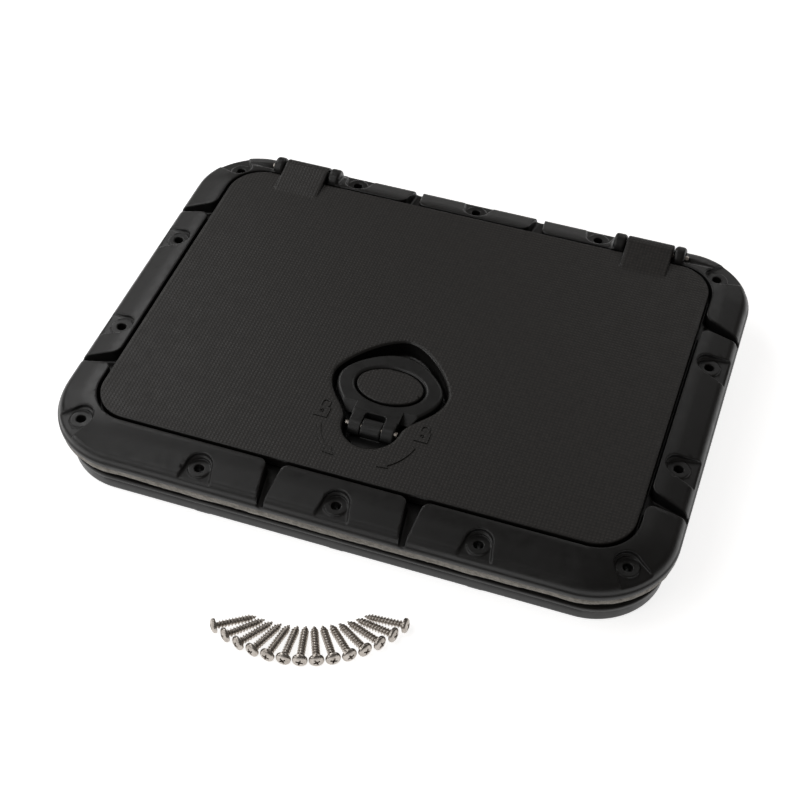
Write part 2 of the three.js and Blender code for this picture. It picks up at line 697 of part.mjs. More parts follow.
function hatch() {
  const group = new THREE.Group();
  group.add(
    meshOf("frame", frame(), COLOURS.frame),
    meshOf("frame_gasket", frameGasket(), COLOURS.foam),
    meshOf("backing_ring", backingRing(), COLOURS.frame),
    meshOf("hinge_pin_left", hingePin(-1), COLOURS.steel),
    meshOf("hinge_pin_right", hingePin(1), COLOURS.steel),
    meshOf("lid_panel", lidPanel(), COLOURS.lid),
    meshOf("lid_seal", lidSeal(), COLOURS.rubber),
    meshOf("handle_ring", handleRing(), COLOURS.latch),
    meshOf("handle_pin", handlePin(), COLOURS.steel),
    meshOf("latch_post", latchPost(), COLOURS.latch),
    meshOf("latch_spindle", latchSpindle(), COLOURS.latch),
    meshOf("spindle_seal", spindleSeal(), COLOURS.rubber),
    meshOf("thrust_washer", thrustWasher(), COLOURS.latch),
    meshOf("latch_bar", latchBar(), COLOURS.latch),
    meshOf("bar_washer", barWasher(), COLOURS.steel),
    meshOf("bar_screw", barScrew(), COLOURS.steel),
  );
  return group;
}

// The origin is below the middle of everything, the loose screws included.
const assembly = new THREE.Group();
assembly.add(hatch(), screwFan());
const bounds = new THREE.Box3().setFromObject(assembly, true);
assembly.position.y = -(bounds.min.y + bounds.max.y) / 2;
const part = new THREE.Group();
part.add(assembly);

export default part;
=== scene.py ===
"""A small boat's deck hatch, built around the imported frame.

Lengths are in millimetres, from a point on the floor under the middle of the lid. They become metres in the
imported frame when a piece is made.
"""
import math

import bpy
import numpy as np
import openvdb
from mathutils import Matrix, Vector


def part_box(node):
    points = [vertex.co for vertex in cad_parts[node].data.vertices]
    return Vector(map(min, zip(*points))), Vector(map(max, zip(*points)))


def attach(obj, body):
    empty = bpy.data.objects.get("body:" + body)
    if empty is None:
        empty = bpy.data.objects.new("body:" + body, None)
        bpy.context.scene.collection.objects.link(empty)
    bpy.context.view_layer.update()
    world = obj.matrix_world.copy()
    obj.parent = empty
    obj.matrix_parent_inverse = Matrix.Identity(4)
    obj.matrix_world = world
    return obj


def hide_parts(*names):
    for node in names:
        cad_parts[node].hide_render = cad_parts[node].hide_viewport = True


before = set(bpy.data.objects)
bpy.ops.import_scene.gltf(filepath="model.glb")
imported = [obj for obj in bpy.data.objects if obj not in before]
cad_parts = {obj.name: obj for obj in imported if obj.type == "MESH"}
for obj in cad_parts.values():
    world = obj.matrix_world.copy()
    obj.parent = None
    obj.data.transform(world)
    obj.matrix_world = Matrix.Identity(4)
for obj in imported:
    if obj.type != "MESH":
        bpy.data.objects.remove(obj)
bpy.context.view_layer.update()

MM = 0.001
SEAL_LOW, SEAL_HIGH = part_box("lid_seal")
HATCH_Y = (SEAL_LOW.y + SEAL_HIGH.y) / 2 / MM
COARSE = 1.0

# The lid's plate and edge.
LID_TOP = 46.5
LID_THICKNESS = 3
LID_GAP = 2
PLATE_Z = LID_TOP - LID_THICKNESS
EDGE_BOTTOM = 38.7

# The frame's flange and neck, and the ring under the deck.
GUTTER_Z = 36.5
FLANGE_BOTTOM = 30.7
FLANGE_HALF_X, FLANGE_FRONT, FLANGE_BACK = 202.8, -156.2, 150.8
FRONT_CORNER, BACK_CORNER = 54.0, 46.0
FLANGE_SLOPE, FLANGE_SLOPE_COSINE = 0.32, 0.952
FLANGE_SLOPE_WIDTH = 23
RIM_HEIGHT = 3.4
NECK_TOP = 40
NECK_WALL = 3
RING_TOP = 14.4

# The right hinge's middle, its arm, and the radii of its hole and pin.
HINGE = (127.0, 135.5, 44.5)
ARM_HALF_WIDTH = 16.4
BAY_HALF_WIDTH = ARM_HALF_WIDTH + 0.5
OUTER_EAR_END = 152.2
HINGE_HOLE, HINGE_PIN = 2.25, 2.0

# The latch's axis, the height of the handle's pin, and the middle of the opening for the fingers.
LATCH_Y = -81.0
PIVOT_Z = 42.5
FINGER_Y = -46.0
RECESS_FLOOR = LID_TOP - 13
HANDLE_TOP = LID_TOP - 0.4
HANDLE_HOLE, HANDLE_PIN = 2.1, 1.9
BASE_RADIUS = 14.5

# The latch's pieces under the lid.
SPINDLE_TOP, SPINDLE_SHOULDER, SPINDLE_END = 33.2, 28.2, 23.2
BAR_TOP, BAR_BOTTOM = 27.9, 22.9
BAR_HALF_LENGTH = 31.5
BAR_WASHER_TOP, BAR_WASHER_BOTTOM = 22.6, 21.6
BAR_SCREW_BOTTOM = 18.7

# Radii of the mounting screws' holes in the flange and in the ring, and the screws themselves.
SCREW_CLEARANCE, SCREW_PILOT = 2.9, 1.9
SCREW_LENGTH = 25.4
HEAD_RADIUS, HEAD_HEIGHT = 4.6, 3.2


# ---------- distance fields ----------

def join(a, b, radius=0.0):
    """The union of two solids, with a fillet where they meet."""
    if np.isscalar(radius) and not radius:
        return np.minimum(a, b)
    return np.maximum(radius, np.minimum(a, b)) - np.hypot(
        np.maximum(radius - a, 0), np.maximum(radius - b, 0))


def meet(a, b, radius=0.0):
    """What two solids share, with the edge between them rounded."""
    if np.isscalar(radius) and not radius:
        return np.maximum(a, b)
    return np.minimum(-radius, np.maximum(a, b)) + np.hypot(
        np.maximum(radius + a, 0), np.maximum(radius + b, 0))


def carve(a, b, radius=0.0):
    """The first solid without the second, with the edge between them rounded."""
    return meet(a, -b, radius)


def rect(x, y, half_x, front, back, corner):
    """The distance to a rectangle centred on X, with round corners."""
    over_x = np.abs(x) - half_x + corner
    over_y = np.abs(y - (front + back) / 2) - (back - front) / 2 + corner
    outside = np.hypot(np.maximum(over_x, 0), np.maximum(over_y, 0))
    return outside + np.minimum(np.maximum(over_x, over_y), 0) - corner


def slab(x, low, high):
    return np.maximum(low - x, x - high)


def disc(x, y, radius):
    return np.hypot(x, y) - radius


def polygon(x, y, points):
    """The signed distance to a closed outline."""
    nearest = None
    inside = np.zeros(np.broadcast(x, y).shape, bool)
    for (ax, ay), (bx, by) in zip(points, points[1:] + points[:1]):
        ex, ey = bx - ax, by - ay
        along = np.clip(((x - ax) * ex + (y - ay) * ey) / (ex * ex + ey * ey), 0, 1)
        apart = (x - ax - along * ex) ** 2 + (y - ay - along * ey) ** 2
        nearest = apart if nearest is None else np.minimum(nearest, apart)
        # A level edge is never crossed, so any height will do for its slope.
        inside ^= ((ay > y) != (by > y)) & (x < ex * (y - ay) / (ey or 1) + ax)
    return np.where(inside, -1, 1) * np.sqrt(nearest)


def ellipse(x, y, radius_x, radius_y):
    """Close to the distance to an ellipse, which is enough near its edge."""
    reach = np.hypot(x / radius_x, y / radius_y)
    slope = np.hypot(x / radius_x ** 2, y / radius_y ** 2)
    return reach * (reach - 1) / np.maximum(slope, 1e-6)


def noise(x, y, z, size, seed):
    """Smooth random values from -1 to 1, whose bumps are about one size apart."""
    table = np.random.default_rng(seed).uniform(-1, 1, (32, 32, 32)).astype(np.float32)
    cells, parts = [], []
    for value in (x, y, z):
        scaled = value / size
        cell = np.floor(scaled).astype(int)
        part = scaled - cell
        cells.append(cell)
        parts.append(part * part * (3 - 2 * part))
    total = 0
    for corner in range(8):
        step = [corner >> axis & 1 for axis in range(3)]
        weight = 1
        for part, up in zip(parts, step):
            weight = weight * (part if up else 1 - part)
        place = [(cell + up) % 32 for cell, up in zip(cells, step)]
        total = total + weight * table[place[0], place[1], place[2]]
    return total


class Field:
    """A box of cells that holds the signed distance to a solid, or to its half at x >= 0 with mirror."""

    def __init__(self, low, high, cell, mirror=False):
        self.cell = cell * COARSE
        self.mirror = mirror
        self.low = [0.0 if mirror and axis == 0 else low[axis] for axis in range(3)]
        self.axes = []
        for axis in range(3):
            count = int(math.ceil((high[axis] - self.low[axis]) / self.cell)) + 1
            self.axes.append(self.low[axis] + self.cell * np.arange(count, dtype=np.float32))
        self.x, self.y, self.z = self.spread(slice(None), slice(None), slice(None))
        self.solid = None

    def spread(self, *spans):
        x, y, z = (axis[span].astype(np.float32) for axis, span in zip(self.axes, spans))
        return x[:, None, None], y[None, :, None], z[None, None, :]

    def window(self, low, high):
        """The cells of a smaller box, and their coordinates."""
        spans = []
        for axis, start, stop in zip(self.axes, low, high):
            first, last = np.searchsorted(axis, (start, stop))
            spans.append(slice(max(int(first) - 1, 0), min(int(last) + 1, len(axis))))
        return tuple(spans), *self.spread(*spans)

    def surface(self, adaptivity):
        """Vertices in millimetres, faces and normals of the solid's surface."""
        values = np.broadcast_to(self.solid, [len(axis) for axis in self.axes])
        low = np.array(self.low)
        if self.mirror:
            values = np.concatenate([values[:0:-1], values])
            low[0] = -self.axes[0][-1]
        values = np.ascontiguousarray(np.clip(values / self.cell, -3, 3), dtype=np.float32)
        grid = openvdb.FloatGrid(3.0)
        grid.copyFromArray(values, tolerance=0.0)
        points, triangles, quads = grid.convertToPolygons(isovalue=0.0, adaptivity=adaptivity)
        normals = np.empty_like(points)
        for axis in range(3):
            step = np.zeros(3)
            step[axis] = 0.6
            normals[:, axis] = sample(values, points + step) - sample(values, points - step)
        normals /= np.maximum(np.linalg.norm(normals, axis=1, keepdims=True), 1e-9)
        faces = [list(face) for face in quads.tolist()] + [list(face) for face in triangles.tolist()]
        return low + points.astype(float) * self.cell, faces, normals


def sample(values, points):
    """Values between cells, by linear interpolation."""
    limit = np.array(values.shape) - 1.001
    points = np.clip(points, 0, limit)
    cell = np.floor(points).astype(int)
    part = points - cell
    total = 0
    for corner in range(8):
        step = np.array([corner >> axis & 1 for axis in range(3)])
        weight = np.prod(np.where(step, part, 1 - part), axis=1)
        place = cell + step
        total = total + weight * values[place[:, 0], place[:, 1], place[:, 2]]
    return total


# ---------- pieces ----------

def make_mesh(name, vertices, faces, normals):
    mesh = bpy.data.meshes.new(name)
    placed = (np.asarray(vertices) + (0, HATCH_Y, 0)) * MM
    mesh.from_pydata(placed.tolist(), [], faces)
    facing = sum(
        mesh.polygons[index].normal.dot(Vector(normals[mesh.polygons[index].vertices[0]]))
        for index in range(0, len(faces), max(1, len(faces) // 200)))
    if facing < 0:
        mesh.flip_normals()
    mesh.polygons.foreach_set("use_smooth", [True] * len(mesh.polygons))
    mesh.update()
    mesh.normals_split_custom_set_from_vertices([tuple(n) for n in normals])
    return mesh


def piece(name, mesh, finish, body, slot, *nodes):
    made = bpy.data.objects.new(name, mesh)
    bpy.context.scene.collection.objects.link(made)
    mesh.materials.append(finish)
    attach(made, body)
    if nodes:
        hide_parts(*nodes)


def field_piece(name, field, adaptivity, finish, body, slot, *nodes):
    mesh = make_mesh(name, *field.surface(adaptivity))
    print(name, len(mesh.vertices), len(mesh.polygons))
    piece(name, mesh, finish, body, slot, *nodes)


# ---------- finishes ----------

class Finish:
    """A material on the object's own coordinates, in metres."""

    def __init__(self, name, **values):
        self.material = bpy.data.materials.new(name)
        self.material.use_nodes = True
        self.tree = self.material.node_tree
        self.shader = self.tree.nodes["Principled BSDF"]
        for socket, value in values.items():
            self.shader.inputs[socket.replace("_", " ")].default_value = value
        coordinates = self.node("ShaderNodeTexCoord")
        self.place = coordinates.outputs["Object"]
        self.facing = self.node("ShaderNodeSeparateXYZ", {0: coordinates.outputs["Normal"]}).outputs["Z"]

    def node(self, kind, inputs=None, **settings):
        made = self.tree.nodes.new(kind)
        for key, value in settings.items():
            setattr(made, key, value)
        for key, value in (inputs or {}).items():
            if isinstance(value, bpy.types.NodeSocket):
                self.tree.links.new(value, made.inputs[key])
            else:
                made.inputs[key].default_value = value
        return made

    def noise(self, scale, detail=3.0, roughness=0.55, place=None):
        made = self.node("ShaderNodeTexNoise", {
            "Vector": place or self.place, "Scale": scale, "Detail": detail, "Roughness": roughness})
        return made.outputs["Fac"]

    def ramp(self, value, low, high, start, end):
        made = self.node("ShaderNodeMapRange", {
            "Value": value, "From Min": low, "From Max": high, "To Min": start, "To Max": end})
        return made.outputs["Result"]

    def math(self, operation, a, b=0.0):
        return self.node("ShaderNodeMath", {0: a, 1: b}, operation=operation).outputs[0]

    def colour(self, value, start, end, low=0.3, high=0.7):
        made = self.node("ShaderNodeValToRGB", {"Fac": value})
        ramp = made.color_ramp
        ramp.elements[0].position, ramp.elements[1].position = low, high
        ramp.elements[0].color, ramp.elements[1].color = (*start, 1), (*end, 1)
        self.tree.links.new(made.outputs["Color"], self.shader.inputs["Base Color"])

    def roughness(self, value):
        self.tree.links.new(value, self.shader.inputs["Roughness"])

    def bump(self, height, strength, depth):
        below = self.shader.inputs["Normal"].links
        inputs = {"Height": height, "Strength": strength, "Distance": depth * MM}
        if below:
            inputs["Normal"] = below[0].from_socket
        made = self.node("ShaderNodeBump", inputs)
        self.tree.links.new(made.outputs["Normal"], self.shader.inputs["Normal"])


def plastic(name, dark, light, rough, grain=0.05):
    made = Finish(name, Specular_IOR_Level=0.42)
    made.colour(made.noise(35, 4), dark, light)
    made.roughness(made.ramp(made.noise(160, 4), 0.3, 0.7, rough - 0.05, rough + 0.07))
    made.bump(made.noise(1500, 2), 0.35, grain)
    made.bump(made.noise(60, 2), 0.12, 0.12)
    return made


def woven_plastic(name, dark, light, rough, pitch):
    """Moulded with a fine woven grain on the faces that look up, like the lid, with painted shade: the
    colour is darker on steep faces and on faces more than 2 mm below the lid's top, such as the latch
    recess.
    """
    made = Finish(name)
    parts = made.node("ShaderNodeSeparateXYZ", {0: made.place})
    wave = 2 * math.pi / (pitch * MM)
    rows = [made.math("COSINE", made.math("MULTIPLY", parts.outputs[axis], wave)) for axis in "XY"]
    knots = made.math("ADD", made.math("ADD", *rows), made.math("MULTIPLY", *rows))
    high = made.ramp(parts.outputs["Z"], (LID_TOP - 5) * MM, (LID_TOP - 2) * MM, 0.0, 1.0)
    upward = made.ramp(made.facing, 0.8, 0.96, 0.0, 1.0)
    level = made.math("MULTIPLY", upward, high)
    weave = made.math("MULTIPLY", made.ramp(knots, -1.0, 3.0, 0.0, 1.0), level)
    speckle = made.noise(900, 3)
    woven = made.math("MULTIPLY", weave, 0.45)
    cloudy = made.math("MULTIPLY", made.noise(300, 4), 0.7)
    patches = made.math("ADD", woven, cloudy)
    # Painted shade: the colour falls to 35% on faces that don't look up or that lie low in the recess,
    # where shade falls.
    patches = made.math("MULTIPLY", patches, made.ramp(level, 0.0, 1.0, 0.35, 1.0))
    made.colour(patches, dark, light, 0.15, 0.8)
    blotches = made.ramp(made.noise(120, 4), 0.3, 0.7, rough - 0.22, rough - 0.12)
    made.roughness(made.math("ADD", blotches, made.math("MULTIPLY", upward, 0.18)))
    made.bump(made.math("ADD", weave, made.math("MULTIPLY", speckle, 0.6)), 1.0, 0.12)
    return made


def foam(name):
    made = Finish(name, Roughness=0.95, Sheen_Weight=0.15)
    pores = made.node("ShaderNodeTexVoronoi", {"Vector": made.place, "Scale": 1100.0})
    made.colour(made.noise(260, 5, 0.7), (0.11, 0.1, 0.086), (0.262, 0.243, 0.217))
    made.bump(pores.outputs["Distance"], 0.8, 0.25)
    made.bump(made.noise(500, 5, 0.7), 0.7, 0.3)
    return made


def rubber(name):
    made = Finish(name)
    made.colour(made.noise(60, 4), (0.008, 0.008, 0.008), (0.016, 0.016, 0.016))
    made.roughness(made.ramp(made.noise(300, 3), 0.3, 0.7, 0.7, 0.85))
    made.bump(made.noise(1200, 3), 0.4, 0.05)
    return made


def steel(name):
    made = Finish(name, Metallic=1.0)
    stretched = made.node("ShaderNodeMapping", {"Vector": made.place, "Scale": (1.0, 0.12, 1.0)})
    made.colour(made.noise(300, 3), (0.36, 0.325, 0.29), (0.54, 0.50, 0.46))
    made.roughness(made.ramp(made.noise(1800, 3, 0.6, stretched.outputs[0]), 0.3, 0.7, 0.2, 0.36))
    made.bump(made.noise(2600, 2, 0.5, stretched.outputs[0]), 0.12, 0.03)
    return made


FRAME_PLASTIC = plastic("frame_plastic", (0.0075, 0.0073, 0.0073), (0.0115, 0.0112, 0.0112), 0.37).material
LID_PLASTIC = woven_plastic(
    "lid_plastic", (0.0055, 0.005, 0.0046), (0.027, 0.0234, 0.0205), 0.5, 2.36).material
LATCH_PLASTIC = plastic("latch_plastic", (0.011, 0.011, 0.011), (0.016, 0.016, 0.016), 0.36, 0.02).material
FOAM = foam("foam").material
RUBBER = rubber("rubber").material
STEEL = steel("steel").material


# ---------- frame ----------

# Each screw hole's X, Y and outward direction in degrees, for the half at x >= 0.
SCREW_PLACES = [(0, -144.2, -90), (89.8, -144.2, -90), (0, 138.6, 90), (89.8, 138.6, 90), (188.6, -48.4, 0),
                (188.6, 42.6, 0), (176.8, -131.3, -45), (176.5, 126.2, 45)]
SEAT_Z = LID_TOP - 6.0
SEAT_RADIUS, POCKET_RADIUS = 7.2, 8.5
POCKET_SLOPE, POCKET_SLOPE_COSINE = 0.22, 0.976


def flange(x, y, inset=0.0):
    """The flange's outline, whose back corners are a little tighter than its front ones."""
    corner = np.where(y < 0, FRONT_CORNER, BACK_CORNER) - inset
    return rect(x, y, FLANGE_HALF_X - inset, FLANGE_FRONT + inset, FLANGE_BACK - inset, corner)


def neck(x, y, grow):
    return rect(x, y, 166 + grow, -117 - grow, 117 + grow, 16 + grow)


def lid_outline(x, y, grow=0):
    return rect(x, y, 175 + grow, -126 - grow, 126 + grow, 25 + grow)


def hinge_disc(y, z, radius):
    return disc(y - HINGE[1], z - HINGE[2], radius)


def turned(x, y, place_x, place_y, degrees):
    """Coordinates from a place, the first one along its direction."""
    c, s = math.cos(math.radians(degrees)), math.sin(math.radians(degrees))
    return (x - place_x) * c + (y - place_y) * s, (y - place_y) * c - (x - place_x) * s


def notches(x, y):
    """The drain notches' outlines: two at the front and the back, and two in each side."""
    straight = [(-6, -5.6), (8, -4.7), (40, -0.6), (40, 0.6), (8, 4.7), (-6, 5.6)]
    slanted = [(-6, -5.9), (30, -4.2), (30, -1.2), (1, 5.6), (-6, 6.6)]
    for place_y, turn in ((-126, -90), (126, 90)):
        yield polygon(*turned(x, y, 45.5, place_y, turn), straight)
    for place_y in (-80, 76.5):
        yield polygon(*turned(x, y, 175, place_y, 0), slanted)


def pocket_outline(u, v):
    """Round behind the screw, and wider outwards."""
    angles = np.linspace(math.pi / 2, 1.5 * math.pi, 17)
    bend = [(POCKET_RADIUS * math.cos(angle), POCKET_RADIUS * math.sin(angle)) for angle in angles]
    return polygon(u, v, bend + [(2, -8.8), (14, -11.8), (36, -16), (36, 16), (14, 11.8), (2, 8.8)])


def screw_pocket(field, place_x, place_y, degrees):
    """A pocket whose floor falls away outwards, with a level seat round the screw hole."""
    cells, x, y, z = field.window((place_x - 24, place_y - 24, 27), (place_x + 24, place_y + 24, 50))
    u, v = turned(x, y, place_x, place_y, degrees)
    falls = (SEAT_Z - POCKET_SLOPE * u - z) * POCKET_SLOPE_COSINE
    body = carve(field.solid[cells], meet(pocket_outline(u, v), falls, 1.0), 0.6)
    seat = disc(u, v, SEAT_RADIUS)
    body = join(body, meet(seat, slab(z, FLANGE_BOTTOM + 1, SEAT_Z), 0.3), 0.5)
    body = carve(body, meet(seat, SEAT_Z - z), 0.25)
    field.solid[cells] = carve(body, disc(u, v, SCREW_CLEARANCE), 0.4)


def hinge_ears(field):
    """Two ears beside the bay for a hinge arm, and a groove in the flange that shows the pin's end."""
    hinge_x, hinge_y, hinge_z = HINGE
    cells, x, y, z = field.window((92, 120, 29), (182, 150, 53))
    ear_radius, groove_radius = 7.6, 3.2
    beside_arm = np.abs(x - hinge_x) - BAY_HALF_WIDTH
    bay = np.maximum(beside_arm, np.maximum(122 - y, 36 - z))
    body = carve(field.solid[cells], bay, 0.7)
    post = np.maximum(np.abs(y - hinge_y) - ear_radius, z - hinge_z)
    ear = join(hinge_disc(y, z, ear_radius), np.maximum(post, 31 - z))
    inner = meet(ear, slab(x, 101.6, hinge_x - BAY_HALF_WIDTH), 2.2)
    outer = meet(ear, slab(x, hinge_x + BAY_HALF_WIDTH, OUTER_EAR_END), 2.8)
    body = join(body, inner, 0.8 + 2.0 * np.clip((104 - x) / 3, 0, 1))
    body = join(body, outer, 0.8)
    rise = 0.2 * np.maximum(x - 154, 0)
    above = np.maximum(np.abs(y - hinge_y) - groove_radius, hinge_z + rise - z)
    groove = join(disc(y - hinge_y, z - hinge_z - rise, groove_radius), above)
    body = carve(body, meet(groove, OUTER_EAR_END - x, 0.5), 1.5)
    body = np.maximum(body, -np.maximum(beside_arm, np.maximum(122 - y, 37 - z)))
    hole = np.maximum(hinge_disc(y, z, HINGE_HOLE), 104 - x)
    field.solid[cells] = np.maximum(body, -hole)


def latch_ledge(field):
    """A ledge on the neck's front wall, which the turned latch bar lies under."""
    cells, x, y, z = field.window((0, -118, 26), (40, -102, 36))
    side = np.maximum(x - 30 + (y + 106) * 0.75, slab(y, -115, -106))
    ledge = meet(side, slab(z, 28.6, 32.6), 0.8)
    field.solid[cells] = join(field.solid[cells], ledge, 0.8)


def build_frame():
    """A flange that slopes down from the gutter round the lid, on a hollow neck with round corners."""
    field = Field((0, -158, -1.5), (205, 153, 53.5), 0.6, mirror=True)
    x, y, z = field.x, field.y, field.z
    outline = flange(x, y)
    slope = (z - LID_TOP + FLANGE_SLOPE * (FLANGE_SLOPE_WIDTH + outline)) * FLANGE_SLOPE_COSINE
    body = meet(meet(z - LID_TOP, slope, 2.0), outline + 1.0, 4.5)
    body = join(body, meet(outline, z - FLANGE_BOTTOM - RIM_HEIGHT, 0.9), 1.6)
    body = meet(body, FLANGE_BOTTOM - z, 0.5)
    gap = lid_outline(x, y, LID_GAP)
    opening = gap
    for notch in notches(x, y):
        opening = join(opening, notch, 5.0)
    floor = GUTTER_Z - 0.11 * np.maximum(gap, 0)
    edge = 1.2 - 0.4 * np.clip(gap / 5, 0, 1)
    body = carve(body, meet(opening, floor - z, 1.3), edge)
    wall = meet(neck(x, y, 0), slab(z, 0, NECK_TOP), 0.8)
    field.solid = join(body, wall, 0.8)
    for place in SCREW_PLACES:
        screw_pocket(field, *place)
    hinge_ears(field)
    field.solid = carve(field.solid, neck(x, y, -NECK_WALL), 0.5)
    latch_ledge(field)
    field_piece("frame_moulding", field, 0.03, FRAME_PLASTIC, "hatch_frame", "frame_plastic", "frame")


def build_gasket():
    """Cut foam with an uneven edge, which sags a little towards the middle."""
    field = Field((0, -158, 22.8), (205, 153, 32), 0.7, mirror=True)
    x, y, z = field.x, field.y, field.z
    outline, inner = flange(x, y, 0.6), flange(x, y, 20.8)
    rough = noise(x, y, z, 3.1, 5) * 0.16 + noise(x, y, z, 17.0, 6) * 0.3
    sag = 1.3 * np.clip(1 - (x / 150) ** 2, 0, 1)
    body = meet(outline + rough, slab(z, 25.8 - sag, 30.45) + np.where(z < 28, rough, 0), 0.8)
    body = np.maximum(body, -inner)
    for place_x, place_y, _ in SCREW_PLACES:
        body = np.maximum(body, -disc(x - place_x, y - place_y, SCREW_CLEARANCE))
    field.solid = body.astype(np.float32)
    field_piece("gasket_foam", field, 0.02, FOAM, "hatch_frame", "foam", "frame_gasket")


def build_ring():
    """The clamp ring under the deck: a plate with a lip, a thin groove, and a wall with a rounded foot."""
    field = Field((0, -152, -1.5), (199.5, 149, 16), 0.7, mirror=True)
    x, y, z = field.x, field.y, field.z
    outline = rect(x, y, 197.6, -149.8, 147, 46.6)
    plate = meet(outline, slab(z, 11.2, RING_TOP), 0.9)
    wall = meet(meet(outline + 1.4, -z, 3.4), z - 12)
    body = carve(join(plate, wall), np.maximum(-outline - 2.4, np.abs(z - 11.0) - 0.4))
    channel = np.maximum(np.maximum(outline + 4.8, -neck(x, y, 4.0)), z - 11.4)
    body = carve(body, channel, 0.4)
    for place_x, place_y, _ in SCREW_PLACES:
        boss = np.maximum(disc(x - place_x, y - place_y, 5.5), slab(z, 0.4, 12))
        body = join(body, np.maximum(boss, outline + 2.2), 0.6)
    for place_x, place_y, _ in SCREW_PLACES:
        body = np.maximum(body, -disc(x - place_x, y - place_y, SCREW_PILOT))
    field.solid = carve(body, neck(x, y, 1.0), 0.6)
    field_piece(
        "backing_ring_moulding", field, 0.03, FRAME_PLASTIC, "hatch_frame", "frame_plastic", "backing_ring")


def build_pins():
    """The two hinge pins."""
    hinge_x, hinge_y, hinge_z = HINGE
    start, end = 105.9, OUTER_EAR_END + 2
    for side, word in ((-1, "left"), (1, "right")):
        low, high = sorted((side * start, side * end))
        field = Field((low - 1, hinge_y - 3, hinge_z - 3), (high + 1, hinge_y + 3, hinge_z + 3), 0.3)
        round_bar = hinge_disc(field.y, field.z, HINGE_PIN)
        field.solid = meet(round_bar, slab(field.x, low, high), 0.6)
        name = "hinge_pin_" + word
        field_piece(name + "_steel", field, 0.0, STEEL, "hatch_frame", "steel", name)


# ---------- lid ----------

def bezier(a, b, c, d, count=14):
    points = []
    for t in np.linspace(0, 1, count, endpoint=False):
        weights = ((1 - t) ** 3, 3 * t * (1 - t) ** 2, 3 * t * t * (1 - t), t ** 3)
        points.append(tuple(sum(w * p[axis] for w, p in zip(weights, (a, b, c, d))) for axis in (0, 1)))
    return points


def bell(back, half_width, end):
    """The bell-shaped outline of the latch recess and of the ring handle inside it."""
    widest = FINGER_Y + 1
    angles = np.linspace(-math.pi / 2, 0, 12)[:-1]
    right = [(end * math.cos(angle), LATCH_Y + end * math.sin(angle)) for angle in angles]
    right += bezier((end, LATCH_Y), (end + 1, -70), (half_width, -62), (half_width, widest))
    right += bezier((half_width, widest), (half_width, widest + 12), (14, back), (0, back))
    left = [(-px, py) for px, py in reversed(right) if px > 1e-6]
    return right + [(0.0, back)] + left


def hinge_arms(field):
    """An arm whose top rises from the lid's in a straight line, tangent to its round end about the pin."""
    hinge_x, hinge_y, hinge_z = HINGE
    cells, x, y, z = field.window((105, 100, 36), (149, 145, 53))
    end_radius = 7.4
    start = 108.7
    reach = math.hypot(hinge_y - start, LID_TOP - hinge_z)
    slope = math.asin(end_radius / reach) - math.atan2(LID_TOP - hinge_z, hinge_y - start)
    run = math.sqrt(reach ** 2 - end_radius ** 2)
    tangent = (start + run * math.cos(slope), LID_TOP + run * math.sin(slope))
    profile = [(start, 45), (123, 45), (123, EDGE_BOTTOM), (hinge_y - 3, EDGE_BOTTOM), (hinge_y, hinge_z),
               tangent, (start, LID_TOP)]
    section = join(polygon(y, z, profile), hinge_disc(y, z, end_radius), 1.0)
    arm = meet(section, np.abs(x - hinge_x) - ARM_HALF_WIDTH, 1.1)
    arm = join(field.solid[cells], arm, 0.5)
    hole = np.maximum(hinge_disc(y, z, HINGE_HOLE), np.abs(x - hinge_x) - 30)
    field.solid[cells] = np.maximum(arm, -hole)


def lid_ribs(x, y, z):
    """A grid of ribs inside a rim, on the lid's underside."""
    half_thickness = 1
    inside = rect(x, y, 157, -108, 108, 8)
    ribs = np.abs(inside) - half_thickness
    for rib_x in (0, 53, 106):
        ribs = np.minimum(ribs, np.maximum(np.abs(x - rib_x) - half_thickness, inside))
    for rib_y in (-60, 0, 60):
        ribs = np.minimum(ribs, np.maximum(np.abs(y - rib_y) - half_thickness, inside))
    return np.maximum(ribs, slab(z, LID_TOP - 8.2, PLATE_Z + 0.5))


def build_lid():
    """A plate with an edge, ribs, a retainer for the seal, the latch's recess and two hinge arms."""
    field = Field((0, -128, 27.5), (176.8, 145, 53.5), 0.65, mirror=True)
    x, y, z = field.x, field.y, field.z
    body = meet(lid_outline(x, y), z - LID_TOP, 0.9)
    body = meet(body, EDGE_BOTTOM - z, 0.4)
    body = carve(body, np.maximum(lid_outline(x, y, -LID_THICKNESS), z - PLATE_Z))
    body = join(body, lid_ribs(x, y, z), 0.7)
    retainer = np.maximum(slab(neck(x, y, 0), 3, 5), slab(z, LID_TOP - 5.5, PLATE_Z + 0.5))
    body = join(body, retainer, 0.4)
    recess = polygon(x[:, :, 0], y[:, :, 0], bell(-5.6, 37.6, 18.4))[:, :, None]
    body = join(body, meet(recess - 2.2, slab(z, RECESS_FLOOR - 2.5, PLATE_Z + 1), 1.0), 0.8)
    body = join(body, np.maximum(disc(x, y - LATCH_Y, 11), slab(z, 29.5, RECESS_FLOOR)), 0.8)
    body = carve(body, meet(recess, RECESS_FLOOR - z, 2.2), 2.6)
    island = meet(ellipse(x, y - FINGER_Y, 22.1, 14.8), z - LID_TOP + 0.3, 0.7)
    body = join(body, np.maximum(island, RECESS_FLOOR - 0.5 - z), 1.5)
    body = np.maximum(body, -np.maximum(disc(x, y - LATCH_Y, 6.3), 28 - z))
    field.solid = np.ascontiguousarray(body, dtype=np.float32)
    hinge_arms(field)
    field_piece("lid_moulding", field, 0.04, LID_PLASTIC, "lid", "lid_plastic", "lid_panel")


